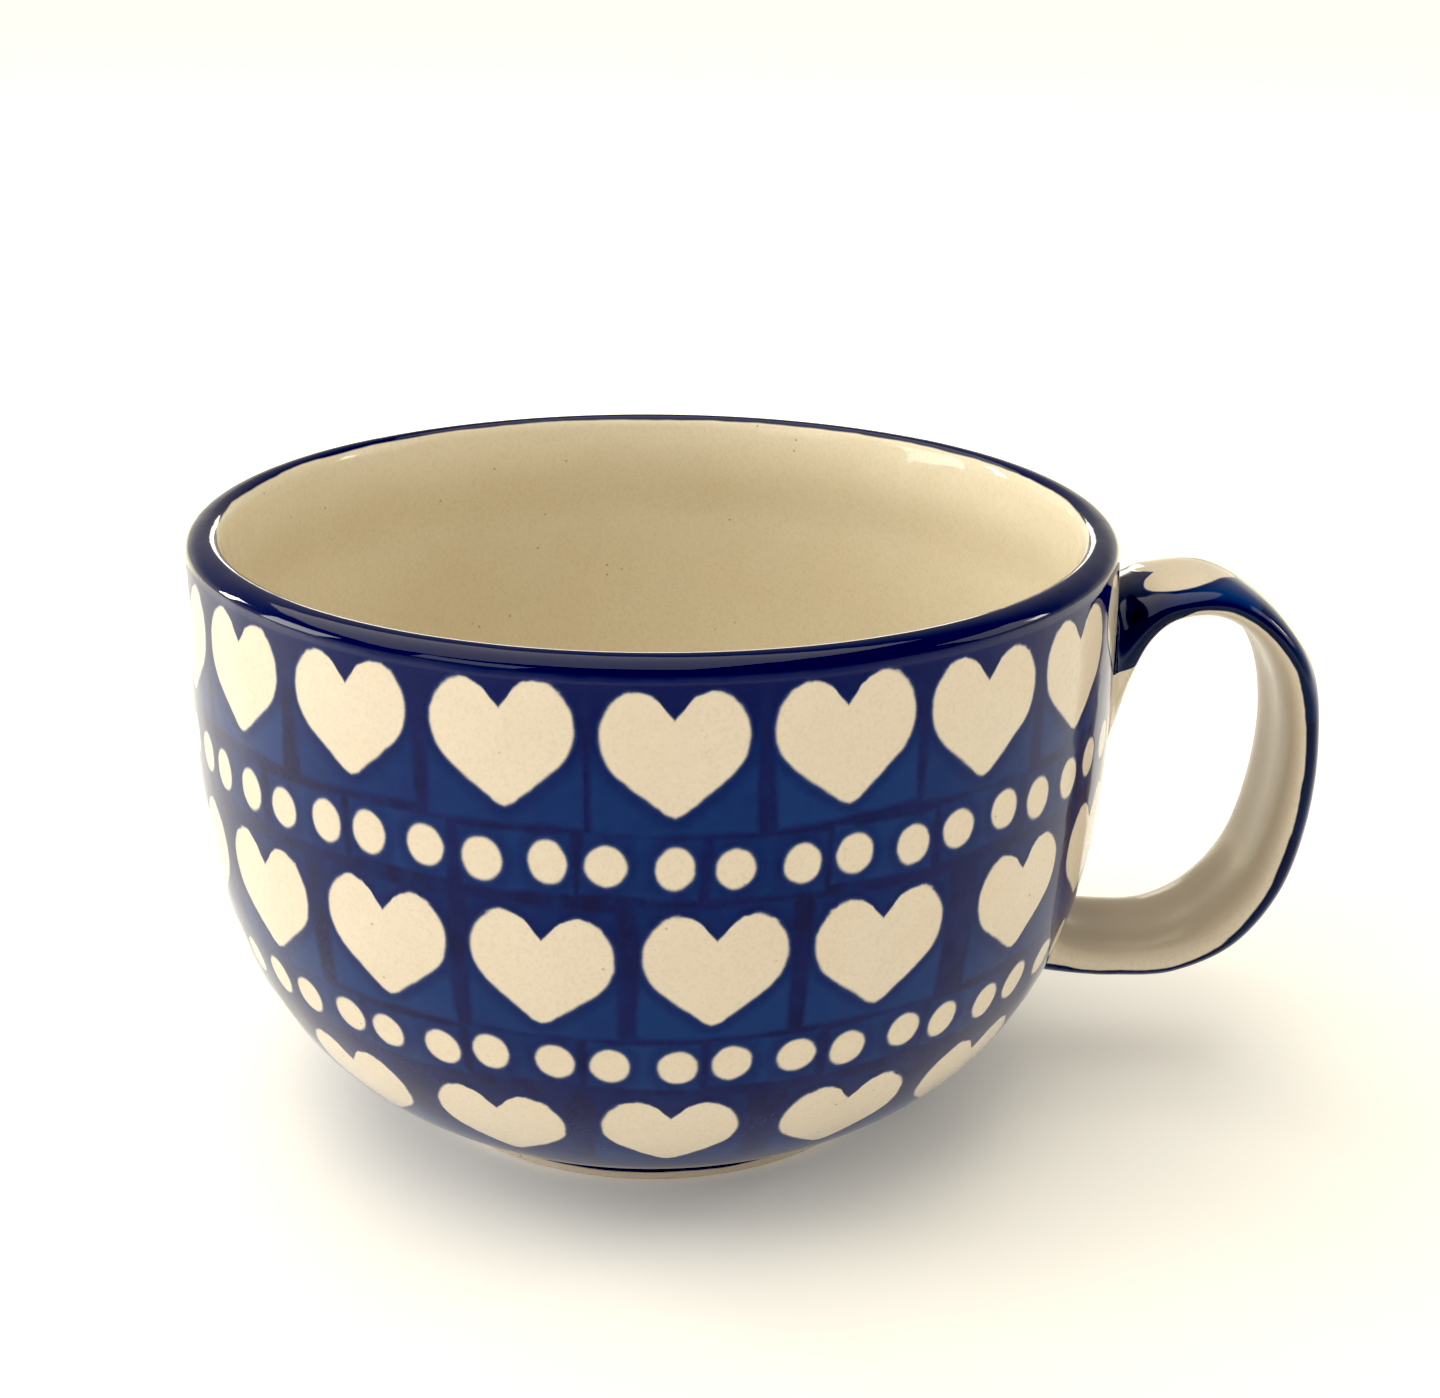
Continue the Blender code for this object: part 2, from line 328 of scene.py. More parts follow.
def wall_material():
    """Hand-stamped hearts and dots on a brushed cobalt ground, under clear glaze."""
    material, g, shader = new_material("decorated_glaze")
    place = object_position(g)
    uv = g.tree.nodes.new("ShaderNodeUVMap")
    uv.uv_map = "UVMap"
    split = g.tree.nodes.new("ShaderNodeSeparateXYZ")
    g.put(split, 0, uv.outputs[0])
    turn = g.mul(split.outputs[0], 2 * math.pi)  # azimuth from the front, 0 to 2 pi
    arc = g.mul(split.outputs[1], 100.0)
    wander = g.add(arc, g.centred_noise(place, 0.022, 0.75, 1.0, 1.0))
    where = g.tree.nodes.new("ShaderNodeSeparateXYZ")
    g.put(where, 0, place)
    radius = g.length(where.outputs[0], where.outputs[1])

    # hearts: the row is chosen by how far down the wall the point is
    past = [g.above(arc, limit) for limit in ROW_BREAKS]
    centre = g.choose(past, [row[0] for row in HEART_ROWS])
    count = g.choose(past, [float(row[1]) for row in HEART_ROWS])
    start = g.choose(past, [row[2] for row in HEART_ROWS])
    pitch = g.choose(past, [(2 * math.pi - row[3]) / row[1] for row in HEART_ROWS])
    from_start = g.math("FLOORED_MODULO", g.sub(turn, start), 2 * math.pi)
    place_in_row = g.div(from_start, pitch)
    cell = g.least(g.math("FLOOR", place_in_row), g.sub(count, 1.0))
    key = g.combine(cell, centre)
    across = g.mul(g.mul(g.sub(g.sub(place_in_row, cell), 0.5), pitch), radius)
    down = g.sub(wander, centre)
    x = g.sub(across, g.jitter(key, 1.0, 0.45))
    y = g.sub(g.jitter(key, 2.0, 0.45), down)
    x, y = turned_pair(g, x, y, g.jitter(key, 3.0, 0.05))
    edge = g.centred_noise(place, 0.55, 0.16, 3.0, 4.0)
    size = g.muladd(g.white(key, 4.0), 0.05, 0.965)
    heart = g.add(heart_distance(g, g.div(x, size), g.div(y, size)), edge)
    crumbs = g.mul(g.centred_noise(place, 0.75, 0.34, 2.0, 5.0), g.ramp(y, 4.4, 6.2))
    heart = g.add(heart, crumbs)

    # each heart stamp's own rectangle of ground
    skew = g.jitter(key, 6.0, 0.035)
    bx, by = turned_pair(g, x, g.add(y, 0.45), skew)
    rough_edge = g.centred_noise(place, 0.22, 0.35, 3.0, 6.0)
    side_gap = g.sub(g.absolute(bx), g.muladd(g.white(key, 7.0), 0.5, 8.05))
    top_gap = g.sub(g.absolute(by), g.muladd(g.white(key, 8.0), 0.4, 7.95))
    block = g.add(g.most(side_gap, top_gap), rough_edge)
    in_block = g.ramp(block, -0.55, 0.45, 1.0, 0.0)

    # dots, stamped in pairs
    low_row = g.above(arc, DOT_BREAK)
    dot_centre = g.choose([low_row], [row[0] for row in DOT_ROWS])
    dot_count = g.choose([low_row], [float(row[1]) for row in DOT_ROWS])
    dot_phase = g.choose([low_row], [row[2] for row in DOT_ROWS])
    dot_gap = g.choose([low_row], [row[3] for row in DOT_ROWS])
    dot_pitch = g.div(2 * math.pi, dot_count)
    dot_place = g.add(g.div(g.sub(turn, dot_phase), dot_pitch), 0.5)
    dot_cell = g.math("FLOOR", dot_place)
    pair_key = g.combine(g.math("FLOORED_MODULO", dot_cell, dot_count), dot_centre)
    dx = g.mul(g.mul(g.sub(g.sub(dot_place, dot_cell), 0.5), dot_pitch), radius)
    dx = g.sub(dx, g.jitter(pair_key, 11.0, 0.3))
    dy = g.sub(g.jitter(pair_key, 12.0, 0.35), g.sub(wander, dot_centre))
    dx, dy = turned_pair(g, dx, dy, g.jitter(pair_key, 13.0, 0.07))
    right = g.muladd(g.above(dx, 0.0), 2.0, -1.0)
    dot_key = g.combine(g.math("FLOORED_MODULO", dot_cell, dot_count), dot_centre, right)
    ox = g.sub(g.absolute(dx), g.mul(dot_gap, 0.5))
    ox = g.div(ox, g.muladd(g.white(dot_key, 14.0), 0.10, 0.90))
    oy = g.add(dy, g.jitter(dot_key, 15.0, 0.12))
    oy = g.div(oy, g.muladd(g.white(dot_key, 16.0), 0.12, 1.02))
    dot = g.add(g.sub(g.length(ox, oy), DOT_RADIUS), edge)
    dot_side = g.sub(g.absolute(dx), 6.05)
    dot_top = g.sub(g.absolute(dy), 3.35)
    dot_block = g.add(g.most(dot_side, dot_top), rough_edge)
    in_dot_block = g.ramp(dot_block, -0.4, 0.4, 1.0, 0.0)

    # ground: stamped blocks, lighter in their lower corners and darker near the
    # heart, with purple strips between them where the cobalt lies double
    stamp = g.least(heart, dot)
    near = g.ramp(stamp, 0.2, 2.3, 1.0, 0.0)
    brushed = g.noise(g.combine(g.mul(turn, 30.0), g.mul(arc, 0.35)), 0.9, 4.0, 0.6, 12.0)
    cloud = g.noise(place, 0.13, 3.0, 0.5, 14.0)
    mottle = g.noise(place, 0.55, 3.0, 0.6, 13.0)
    strip = g.mix(g.ramp(cloud, 0.40, 0.66), COBALT_STRIP, COBALT_LINE)
    strip = g.mix(g.ramp(brushed, 0.42, 0.72, 0.0, 0.6), strip, COBALT)
    row_tone = g.choose(past, [0.10, 0.42, 0.30])
    fade = g.ramp(g.add(y, g.muladd(cloud, 6.0, -3.0)), -4.5, 5.0, 1.0, row_tone)
    tone = g.mul(fade, g.muladd(g.white(key, 17.0), 0.45, 0.62))
    tone = g.mul(tone, g.muladd(near, -0.62, 1.0))
    tone = g.add(tone, g.centred_noise(place, 0.55, 0.16, 3.0, 13.0))
    block_colour = g.mix(g.ramp(tone, 0.0, 0.45), COBALT_DEEP, COBALT)
    block_colour = g.mix(g.ramp(tone, 0.35, 1.0), block_colour, COBALT_LIGHT)
    ground = g.mix(in_block, strip, block_colour)
    dot_tone = g.mul(g.muladd(g.white(pair_key, 18.0), 0.5, 0.45), g.muladd(near, -0.55, 1.0))
    dot_tone = g.add(dot_tone, g.muladd(brushed, 0.7, -0.35))
    dot_ground = g.mix(g.ramp(dot_tone, 0.0, 0.4), COBALT_DEEP, COBALT)
    dot_ground = g.mix(g.ramp(dot_tone, 0.3, 1.0), dot_ground, COBALT_LIGHT)
    ground = g.mix(in_dot_block, ground, dot_ground)
    ground = g.mix(g.ramp(mottle, 0.55, 0.85, 0.0, 0.3), ground, COBALT_STRIP)
    below = g.add(arc, g.centred_noise(place, 0.10, 1.6, 2.0, 19.0))
    under_rim = g.ramp(below, 2.2, 7.0, 0.85, 0.0)
    ground = g.mix(under_rim, ground, COBALT_DEEP)

    halo = g.ramp(stamp, 0.05, 0.55, 1.0, 0.0)
    ground = g.mix(g.mul(halo, 0.38), ground, HALO)
    rim = g.ramp(g.add(arc, g.centred_noise(place, 0.35, 0.12, 2.0, 20.0)), 1.5, 2.15, 1.0, 0.0)
    ground = g.mix(rim, ground, COBALT_RIM)
    shown = g.mul(g.ramp(stamp, -0.25, 0.22, 1.0, 0.0), g.ramp(arc, 1.2, 1.9))
    colour = g.mix(shown, ground, cream_colour(g, place))

    # inside the lip the cobalt band stops and the cream begins
    inside_edge = g.add(arc, g.centred_noise(place, 0.12, 0.25, 2.0, 21.0))
    inside = g.ramp(inside_edge, *INSIDE_PAINT, 1.0, 0.0)
    colour = g.mix(inside, colour, cream_colour(g, place, CREAM_INSIDE))
    g.tree.links.new(colour, shader.inputs["Base Color"])

    rough = g.ramp(g.noise(place, 0.3, 3.0, 0.6, 30.0), 0.3, 0.7, 0.055, 0.12)
    rough = g.mul(rough, g.ramp(arc, 0.5, 4.0, 0.45, 1.0))
    g.tree.links.new(rough, shader.inputs["Roughness"])
    shader.inputs["Specular IOR Level"].default_value = GLOSS
    relief = g.mul(g.ramp(stamp, -0.35, 0.35), 0.35)
    skin = g.noise(place, 0.16, 2.0, 0.4, 31.0)
    fine = g.noise(place, 0.9, 2.0, 0.5, 32.0)
    height = g.add(g.muladd(skin, 1.0, relief), g.mul(fine, 0.05))
    bump(g, shader, height, 0.09)
    return material


def inside_material(name, skin_depth=0.10):
    """Plain cream glaze of the bowl, with a faint orange-peel skin."""
    material, g, shader = new_material(name)
    place = object_position(g)
    g.tree.links.new(cream_colour(g, place, CREAM_INSIDE), shader.inputs["Base Color"])
    rough = g.ramp(g.noise(place, 0.25, 3.0, 0.6, 40.0), 0.3, 0.7, 0.07, 0.14)
    g.tree.links.new(rough, shader.inputs["Roughness"])
    skin = g.noise(place, 0.22, 2.0, 0.45, 41.0)
    fine = g.noise(place, 1.1, 2.0, 0.5, 42.0)
    bump(g, shader, g.muladd(fine, 0.08, skin), skin_depth)
    return material


def foot_material():
    """Foot ring: cobalt line, cream glaze, then dry stoneware where it stands."""
    material, g, shader = new_material("foot_glaze")
    place = object_position(g)
    where = g.tree.nodes.new("ShaderNodeSeparateXYZ")
    g.put(where, 0, place)
    radius = g.length(where.outputs[0], where.outputs[1])
    height = where.outputs[2]
    line = g.ramp(g.add(height, g.centred_noise(place, 0.18, 0.12, 2.0, 50.0)), 1.0, 1.25)
    outside = g.above(radius, FOOT_RADIUS - 1.2)
    painted = g.mul(line, outside)
    colour = g.mix(painted, cream_colour(g, place), COBALT_RIM)
    low = g.ramp(g.add(height, g.centred_noise(place, 0.5, 0.12, 3.0, 51.0)), 0.12, 0.35, 1.0, 0.0)
    grit = g.noise(place, 3.0, 4.0, 0.65, 52.0)
    dry = g.mix(g.ramp(grit, 0.35, 0.7), DRY_DARK, DRY_LIGHT)
    colour = g.mix(low, colour, dry)
    g.tree.links.new(colour, shader.inputs["Base Color"])
    g.tree.links.new(g.muladd(low, 0.62, 0.12), shader.inputs["Roughness"])
    bump(g, shader, g.mul(grit, low), 0.12)
    return material


def handle_material():
    """Strap: cobalt outside with a column of hearts, cream inside with painted shade on the finger
    face, and painted shade on the cobalt sides and near the upper root.
    """
    material, g, shader = new_material("handle_glaze")
    place = object_position(g)
    uv = g.tree.nodes.new("ShaderNodeUVMap")
    uv.uv_map = "UVMap"
    split = g.tree.nodes.new("ShaderNodeSeparateXYZ")
    g.put(split, 0, uv.outputs[0])
    around = g.mul(split.outputs[0], 2 * math.pi)  # 0 at one edge, pi/2 on the outer face
    along = g.mul(split.outputs[1], 100.0)
    across = g.mul(g.math("COSINE", around), STRAP_HALF_WIDTH)
    outer = g.math("SINE", around)

    place_in_row = g.add(g.div(g.sub(along, STRAP_HEART_FIRST), STRAP_HEART_PITCH), 0.5)
    cell = g.math("FLOOR", place_in_row)
    key = g.combine(cell, 7.0)
    y = g.mul(g.sub(g.sub(cell, place_in_row), -0.5), STRAP_HEART_PITCH)
    x = g.sub(g.mul(across, 1.08), g.jitter(key, 1.0, 0.3))
    y = g.sub(y, g.jitter(key, 2.0, 0.3))
    x, y = turned_pair(g, x, y, g.jitter(key, 3.0, 0.05))
    edge = g.centred_noise(place, 0.55, 0.16, 3.0, 4.0)
    scaled = g.div(x, STRAP_HEART_SCALE), g.div(y, STRAP_HEART_SCALE)
    heart = g.add(heart_distance(g, *scaled), edge)
    heart = g.most(heart, g.sub(1.0, g.mul(g.add(outer, 0.2), 4.0)))
    heart = g.most(heart, g.sub(10.0, along))

    strokes = g.noise(g.combine(g.mul(across, 0.7), g.mul(along, 0.25)), 0.9, 4.0, 0.6, 12.0)
    cloud = g.noise(place, 0.11, 3.0, 0.5, 14.0)
    block = g.add(g.sub(g.absolute(y), 7.7), g.centred_noise(place, 0.22, 0.35, 3.0, 6.0))
    in_block = g.ramp(block, -0.2, 0.3, 1.0, 0.0)
    near = g.ramp(heart, 0.2, 2.3, 1.0, 0.0)
    fade = g.ramp(g.add(y, g.muladd(cloud, 6.0, -3.0)), -4.5, 5.0, 1.0, 0.1)
    tone = g.mul(fade, g.muladd(near, -0.62, 1.0))
    tone = g.add(tone, g.muladd(strokes, 0.6, -0.3))
    light = g.mix(g.ramp(tone, 0.0, 0.45), COBALT_DEEP, COBALT)
    light = g.mix(g.ramp(tone, 0.35, 1.0), light, COBALT_LIGHT)
    dark = g.mix(g.ramp(cloud, 0.40, 0.66), COBALT_STRIP, COBALT_LINE)
    ground = g.mix(in_block, dark, light)
    # painted shade: the cobalt on the strap's sides and near the upper root is darkened, as shade
    # falls there
    side = g.most(g.ramp(outer, 0.05, 0.55, 1.0, 0.0), g.ramp(along, 12.0, 19.0, 1.0, 0.0))
    ground = g.mix(g.mul(side, 0.85), ground, COBALT_PAINTED_SHADE)
    ground = g.mix(g.mul(g.ramp(heart, 0.05, 0.55, 1.0, 0.0), 0.38), ground, HALO)
    colour = g.mix(g.ramp(heart, -0.20, 0.18, 1.0, 0.0), ground, cream_colour(g, place))

    # the cobalt wraps over the edges, and right round near the upper root
    height = g.tree.nodes.new("ShaderNodeSeparateXYZ")
    g.put(height, 0, place)
    tail = g.ramp(height.outputs[2], *TAIL_HEIGHTS, 2.6, 0.0)
    tail = g.mul(tail, g.ramp(along, 15.0, 18.0, 1.0, 0.0))
    wrap = g.ramp(along, 13.0, 21.0, -1.3, -0.06)
    lower = g.ramp(along, 58.0, 92.0, 0.0, 0.24)
    limit = g.add(g.add(g.sub(tail, 0.05), wrap), lower)
    limit = g.add(limit, g.centred_noise(place, 0.25, 0.06, 2.0, 60.0))
    painted = g.ramp(g.sub(outer, limit), -0.035, 0.035)
    # painted shade: the bare cream of the finger face is darkened, as it lies in shade
    bare = g.mix(g.ramp(outer, -0.75, -0.2, 1.0, 0.0), cream_colour(g, place), CREAM_STRAP_PAINTED_SHADE)
    colour = g.mix(painted, bare, colour)
    g.tree.links.new(colour, shader.inputs["Base Color"])
    rough = g.ramp(g.noise(place, 0.3, 3.0, 0.6, 30.0), 0.3, 0.7, 0.06, 0.13)
    rough = g.add(rough, g.ramp(outer, -0.25, 0.0, 0.14, 0.0))
    g.tree.links.new(rough, shader.inputs["Roughness"])
    shader.inputs["Specular IOR Level"].default_value = GLOSS
    skin = g.noise(place, 0.2, 2.0, 0.4, 31.0)
    fine = g.noise(place, 1.0, 2.0, 0.5, 32.0)
    relief = g.mul(g.ramp(heart, -0.35, 0.35), 0.35)
    bump(g, shader, g.add(g.muladd(skin, 1.0, relief), g.mul(fine, 0.06)), 0.09)
    return material


# ---- Turned cup ----------------------------------------------------------------
def outer_radius(height):
    if height >= BELLY_HEIGHT:
        share = (height - BELLY_HEIGHT) / (HEIGHT - BELLY_HEIGHT)
        return BELLY_RADIUS + (RIM_RADIUS - BELLY_RADIUS) * share**2
    share = (BELLY_HEIGHT - height) / OUTER_DEPTH
    return BELLY_RADIUS * (1 - share**OUTER_POWER) ** (1 / OUTER_POWER)


def inner_radius(height):
    lip_low = HEIGHT - LIP_DEPTH
    crest = RIM_RADIUS - LIP_OUTER
    if height >= lip_low:
        near = 1 - min(1.0, (HEIGHT - height) / LIP_ROUND[1])
        far = 1 - (HEIGHT - height) / LIP_DEPTH
        return crest - LIP_ROUND[0] * math.sqrt(1 - near**2) - LIP_SWELL * (1 - far**2)
    if height >= BELLY_HEIGHT:
        share = (height - BELLY_HEIGHT) / (lip_low - BELLY_HEIGHT)
        step = crest - LIP_ROUND[0] - LIP_SWELL - BELLY_RADIUS + WALL
        return BELLY_RADIUS - WALL + step * share**2 * (3 - 2 * share)
    share = (BELLY_HEIGHT - height) / (BELLY_HEIGHT - FLOOR_TOP)
    return (BELLY_RADIUS - WALL) * max(0.0, 1 - share**INNER_POWER) ** (1 / INNER_POWER)


def even_curve(radius, low, high, count):
    """(radius, height) points evenly spaced along a wall, from low to high."""
    fine = [low + (high - low) * k / 4000 for k in range(4001)]
    run = [0.0]
    for k in range(1, 4001):
        step = math.hypot(radius(fine[k]) - radius(fine[k - 1]), fine[k] - fine[k - 1])
        run.append(run[-1] + step)
    points = []
    k = 0
    for n in range(count + 1):
        while k < 4000 and run[k] < run[-1] * n / count:
            k += 1
        points.append((radius(fine[k]), fine[k]))
    return points


def new_object(name, vertices, faces, materials, zones=None, uvs=None):
    mesh = bpy.data.meshes.new(name)
    mesh.from_pydata([tuple(c * MM for c in v) for v in vertices], [], faces)
    for material in materials:
        mesh.materials.append(material)
    if zones is not None:
        mesh.polygons.foreach_set("material_index", zones)
    if uvs is not None:
        layer = mesh.uv_layers.new(name="UVMap")
        layer.data.foreach_set("uv", [c for uv in uvs for c in uv])
    mesh.shade_smooth()
    mesh.update()
    obj = bpy.data.objects.new(name, mesh)
    bpy.context.scene.collection.objects.link(obj)
    return obj


def turned_mesh(name, profile, materials, around=256):
    """profile: (radius, height, arc, zone) from the inside floor over the lip to the underside."""
    vertices = []
    rings = []
    for radius, height, _, _ in profile:
        if radius < 1e-6:
            rings.append([len(vertices)] * around)
            vertices.append((AXIS_X, 0.0, height))
            continue
        rings.append(list(range(len(vertices), len(vertices) + around)))
        for k in range(around):
            angle = 2 * math.pi * k / around
            vertices.append(
                (AXIS_X + radius * math.sin(angle), -radius * math.cos(angle), height)
            )
    faces, zones, uvs = [], [], []
    for n in range(len(profile) - 1):
        upper, lower = rings[n], rings[n + 1]
        arc_a, arc_b, zone = profile[n][2] / 100, profile[n + 1][2] / 100, profile[n][3]
        for k in range(around):
            j = (k + 1) % around
            corners = [
                (upper[k], (k / around, arc_a)), (lower[k], (k / around, arc_b)),
                (lower[j], ((k + 1) / around, arc_b)), (upper[j], ((k + 1) / around, arc_a)),
            ]
            kept = [c for i, c in enumerate(corners) if c[0] != corners[i - 1][0]]
            faces.append([c[0] for c in kept])
            uvs.extend(c[1] for c in kept)
            zones.append(zone)
    return new_object(name, vertices, faces, materials, zones, uvs)


def cup_profile():
    """Zones: 0 decorated outside and lip, 1 cream inside, 2 foot and underside."""
    lip_base = HEIGHT - LIP_HEIGHT
    lip = []
    for k in range(13):
        angle = math.pi / 2 * k / 12
        lip.append((RIM_RADIUS - LIP_OUTER * (1 - math.sin(angle)),
                    lip_base + LIP_HEIGHT * math.cos(angle)))
    inside = list(reversed(even_curve(inner_radius, FLOOR_TOP, HEIGHT, 150)))
    inside[-1] = (0.0, FLOOR_TOP)
    upward = list(reversed(lip)) + inside[1:]
    arc = LIP_HEIGHT
    points = [(*upward[0], arc, 0)]
    for (r0, h0), (r1, h1) in zip(upward, upward[1:]):
        arc -= math.hypot(r1 - r0, h1 - h0)
        points.append((r1, h1, arc, 1 if arc < INSIDE_ARC else 0))
    points.reverse()
    outside = list(reversed(even_curve(outer_radius, UNDERSIDE - 0.3, lip_base, 190)))
    arc = LIP_HEIGHT
    for (r0, h0), (r1, h1) in zip(outside, outside[1:]):
        arc += math.hypot(r1 - r0, h1 - h0)
        points.append((r1, h1, arc, 0))
    # foot ring: a small cove, the vertical side, rounded toe, the flat, and the recess
    cove = [(FOOT_RADIUS + 0.12, 2.42), (FOOT_RADIUS, 2.2)]
    cove += [(FOOT_RADIUS, 2.2 - 0.25 * k) for k in range(1, 7)]
    toe = []
    for k in range(1, 6):
        angle = -math.pi / 2 * k / 5
        toe.append((FOOT_RADIUS - FOOT_ROUND + FOOT_ROUND * math.cos(angle),
                    FOOT_ROUND + FOOT_ROUND * math.sin(angle)))
    inner = FOOT_RADIUS - FOOT_WIDTH
    toe += [(FOOT_RADIUS - 1.2, 0.0), (inner + 1.0, 0.0)]
    for k in range(0, 6):
        angle = -math.pi / 2 - math.pi / 2 * k / 5
        toe.append((inner + FOOT_ROUND + FOOT_ROUND * math.cos(angle),
                    FOOT_ROUND + FOOT_ROUND * math.sin(angle)))
    recess = [(inner, 1.2), (inner - 0.1, 2.0), (inner - 0.5, 2.55), (inner - 1.2, 2.75)]
    recess += [(r, UNDERSIDE) for r in (24.0, 16.0, 8.0, 0.0)]
    for r, h in cove + toe + recess:
        points.append((r, h, 90.0 + (UNDERSIDE - h), 2))
    last = points[-1]
    points[-1] = (0.0, last[1], last[2], 2)
    return points


# ---- Strap handle --------------------------------------------------------------
def blended(values, position):
    """Catmull-Rom reading of a list of numbers at a fractional position."""
    last = len(values) - 1
    base = min(int(position), last - 1)
    t = position - base
    a, b = values[max(base - 1, 0)], values[base]
    c, d = values[base + 1], values[min(base + 2, last)]
    return 0.5 * (
        2 * b + (c - a) * t + (2 * a - 5 * b + 4 * c - d) * t**2 + (3 * b - a - 3 * c + d) * t**3
    )


def wall_gap(reach, side, height):
    """Distance from a point to the cup's outside, about square to the wall."""
    slope = (outer_radius(height + 0.2) - outer_radius(height - 0.2)) / 0.4
    return (math.hypot(reach, side) - outer_radius(height)) / math.sqrt(1 + slope * slope)


def handle_mesh(name, material, sections=300, sides=64):
    last = len(STRAP_SECTIONS) - 1
    columns = [[s[a][b] for s in STRAP_SECTIONS] for a in (0, 1) for b in (0, 1)]
    flares = [s[2] for s in STRAP_SECTIONS]
    rings, run, previous = [], STRAP_RUN, None
    runs = []
    for n in range(sections + 1):
        position = last * n / sections
        away_r, away_h, near_r, near_h = (blended(column, position) for column in columns)
        half = STRAP_HALF_WIDTH + blended(flares, position)
        mid = Vector(((away_r + near_r) / 2, 0.0, (away_h + near_h) / 2))
        through = Vector(((away_r - near_r) / 2, 0.0, (away_h - near_h) / 2))
        if previous is not None:
            run += (mid - previous).length
        previous = mid
        runs.append(run)
        ring = []
        for k in range(sides):
            angle = 2 * math.pi * k / sides
            c, s = math.cos(angle), math.sin(angle)
            sideways = half * math.copysign(abs(c) ** STRAP_POWER, c)
            out = through * math.copysign(abs(s) ** STRAP_POWER, s)
            if s < 0:  # a soft lengthwise hollow on the finger side
                out *= 1 - HOLLOW * math.exp(-((sideways / HOLLOW_WIDTH) ** 2))
            out.y = sideways
            point = mid + out
            gap = wall_gap(point.x, point.y, point.z)
            if gap < FILLET:
                lift = FILLET - math.sqrt(FILLET**2 - (FILLET - max(gap, 0.0)) ** 2)
                direction = out.normalized()
                direction.x *= 0.25
                point = point + direction * min(lift, FILLET_LIFT) * FILLET_SHARE
            ring.append((AXIS_X + point.x * REACH_EASE, point.y, point.z))
        rings.append(ring)
    vertices = [p for ring in rings for p in ring]
    faces, uvs = [], []
    for n in range(sections):
        for k in range(sides):
            j = (k + 1) % sides
            faces.append((n * sides + k, n * sides + j, (n + 1) * sides + j, (n + 1) * sides + k))
            uvs += [(k / sides, runs[n] / 100), ((k + 1) / sides, runs[n] / 100),
                    ((k + 1) / sides, runs[n + 1] / 100), (k / sides, runs[n + 1] / 100)]
    faces.append(tuple(reversed(range(sides))))
    uvs += [(0.0, 0.0)] * sides
    faces.append(tuple(sections * sides + k for k in range(sides)))
    uvs += [(0.0, runs[-1] / 100)] * sides
    return new_object(name, vertices, faces, [material], None, uvs)


# ---- Stage ---------------------------------------------------------------------
WARM = (1.0, 0.94, 0.80)
DAYLIGHT = (1.0, 0.975, 0.91)
TABLE, TABLE_FAR = (0.93, 0.93, 0.92), (0.93, 0.915, 0.76)
GLOW_COLOUR, GLOW_FAR = (1.0, 0.97, 0.88), (1.0, 0.97, 0.68)
TABLE_BACK = 240.0
TABLE_BACK_SLOPE = 0.035
GLOW_FROM, GLOW_TO = 260.0, 520.0
GLOW = 0.75
GLOW_NEAR = 0.13
WORLD = 0.46
HORIZON, HORIZON_FADE = 1.0, 0.30
BLACK_LEVEL = (0.032, 0.029, 0.021)
SOFTBOXES = (
    ("ceiling", (-0.30, 0.10, 1.2), 1.7, 1.6, 1.85, WARM),
    ("window_left", (-0.95, 0.02, 0.31), 0.36, 0.40, 7.5, DAYLIGHT),
    ("window_back", (-0.86, 0.44, 0.32), 0.09, 0.30, 24.0, DAYLIGHT),
    ("front_left", (-0.75, -0.75, 0.55), 0.5, 0.5, 2.4, DAYLIGHT),
    ("side_right", (0.95, 0.0, 0.50), 0.5, 0.5, 1.8, WARM),
    ("back_strip", (0.0, 1.4, 0.30), 0.45, 0.20, 5.0, WARM),
    ("lamp_right", (0.85, 0.16, 0.38), 0.10, 0.14, 12.0, WARM),
)


def floor():
    """Pale seamless table with painted light: a faint glow everywhere lifts its shadows, and a
    stronger glow further out keeps it from falling dark.
    """
    size = 12.0 / MM
    obj = new_object(
        "floor",
        [(-size, -size, 0.0), (size, -size, 0.0), (size, size, 0.0), (-size, size, 0.0)],
        [(0, 1, 2, 3)],
        [],
    )
    material, g, shader = new_material("pale_table")
    place = object_position(g)
    split = g.tree.nodes.new("ShaderNodeSeparateXYZ")
    g.put(split, 0, place)
    line = g.muladd(split.outputs[0], TABLE_BACK_SLOPE, split.outputs[1])
    far = g.ramp(line, TABLE_BACK - 1.5, TABLE_BACK + 1.5)
    g.tree.links.new(g.mix(far, TABLE, TABLE_FAR), shader.inputs["Base Color"])
    shader.inputs["Roughness"].default_value = 0.5
    shader.inputs["Specular IOR Level"].default_value = 0.2
    away = g.ramp(g.length(split.outputs[0], split.outputs[1]), GLOW_FROM, GLOW_TO)
    glow = g.muladd(g.most(away, far), GLOW, GLOW_NEAR)
    g.tree.links.new(glow, shader.inputs["Emission Strength"])
    g.tree.links.new(g.mix(far, GLOW_COLOUR, GLOW_FAR), shader.inputs["Emission Color"])
    obj.data.materials.append(material)
    return obj


def area_light(name, place, width, height, radiance, tint, target=(0.0, 0.0, 0.03)):
    """A softbox whose own brightness is the radiance, where 1 shows as white."""
    data = bpy.data.lights.new(name, "AREA")
    data.shape = "RECTANGLE"
    data.size, data.size_y = width, height
    data.energy = radiance * math.pi * width * height
    data.color = tint
    obj = bpy.data.objects.new(name, data)
    bpy.context.scene.collection.objects.link(obj)
    obj.location = place
    aim = Vector(target) - Vector(place)
    obj.rotation_mode = "QUATERNION"
    obj.rotation_quaternion = aim.to_track_quat("-Z", "Y")
    obj.visible_camera = False
    return obj


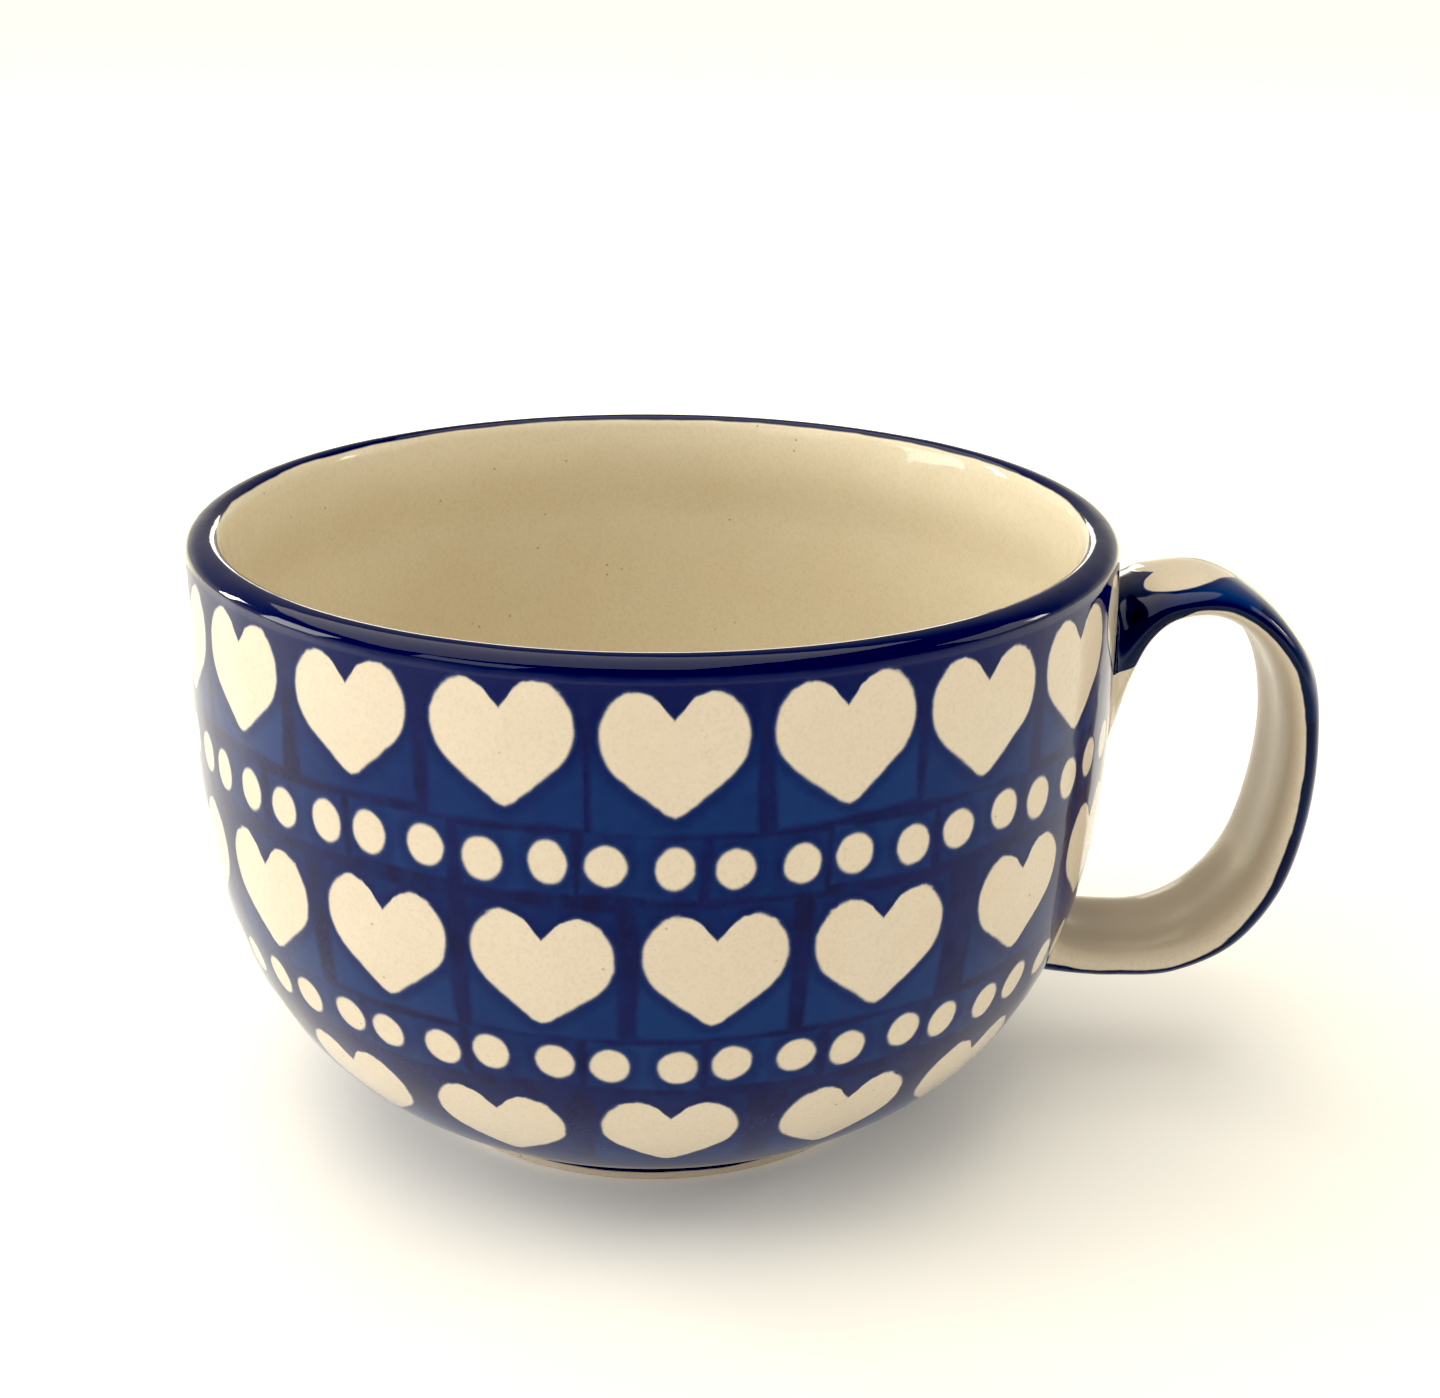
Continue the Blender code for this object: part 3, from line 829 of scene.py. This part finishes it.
def lights():
    scene = bpy.context.scene
    world = bpy.data.worlds.new("studio")
    world.use_nodes = True
    background = world.node_tree.nodes["Background"]
    background.inputs["Color"].default_value = (*WARM, 1.0)
    g = Graph(world.node_tree)
    direction = g.tree.nodes.new("ShaderNodeTexCoord")
    split = g.tree.nodes.new("ShaderNodeSeparateXYZ")
    g.put(split, 0, direction.outputs["Generated"])
    strength = g.ramp(split.outputs[2], 0.0, HORIZON_FADE, HORIZON, WORLD)
    g.tree.links.new(strength, background.inputs["Strength"])
    scene.world = world
    for name, place, width, height, radiance, tint in SOFTBOXES:
        area_light(name, place, width, height, radiance, tint)
    scene.view_settings.view_transform = "Standard"
    scene.view_settings.look = "None"
    scene.view_settings.use_curve_mapping = True
    scene.view_settings.curve_mapping.black_level = BLACK_LEVEL
    scene.view_settings.curve_mapping.update()


# ---- Camera --------------------------------------------------------------------
CAMERA_DISTANCE = 0.25225
CAMERA_HEIGHT = 0.14426
CAMERA_BEARING = math.radians(-1.0)
CAMERA_TILT = 0.354
CAMERA_PAN = 0.033
CAMERA_ROLL = 0.013
CAMERA_LENS = 52.31


def camera():
    data = bpy.data.cameras.new("camera")
    data.sensor_width = 36.0
    data.lens = CAMERA_LENS
    data.clip_start = 0.01
    data.clip_end = 100.0
    obj = bpy.data.objects.new("camera", data)
    bpy.context.scene.collection.objects.link(obj)
    forward = Vector((
        math.sin(CAMERA_PAN) * math.cos(CAMERA_TILT),
        math.cos(CAMERA_PAN) * math.cos(CAMERA_TILT),
        -math.sin(CAMERA_TILT),
    ))
    right = Vector((math.cos(CAMERA_PAN), -math.sin(CAMERA_PAN), 0.0))
    up = right.cross(forward)
    c, s = math.cos(CAMERA_ROLL), math.sin(CAMERA_ROLL)
    rolled_right = right * c + up * s
    rolled_up = up * c - right * s
    axes = Matrix((rolled_right, rolled_up, -forward)).transposed().to_4x4()
    swing = Matrix.Rotation(CAMERA_BEARING, 4, "Z")
    stand = Matrix.Translation((0.0, -CAMERA_DISTANCE, CAMERA_HEIGHT))
    obj.matrix_world = Matrix.Translation((AXIS_X * MM, 0.0, 0.0)) @ swing @ stand @ axes
    bpy.context.scene.camera = obj


def main():
    camera()
    lights()
    floor()
    wall = wall_material()
    inside = inside_material("cream_glaze")
    foot = foot_material()
    cup = turned_mesh("mug_body", cup_profile(), [wall, inside, foot])
    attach(cup, "root")
    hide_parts("cup", "foot_ring")
    handle = handle_mesh("mug_handle", handle_material())
    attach(handle, "root")
    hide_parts("strap_handle", "upper_handle_root", "lower_handle_root")


main()
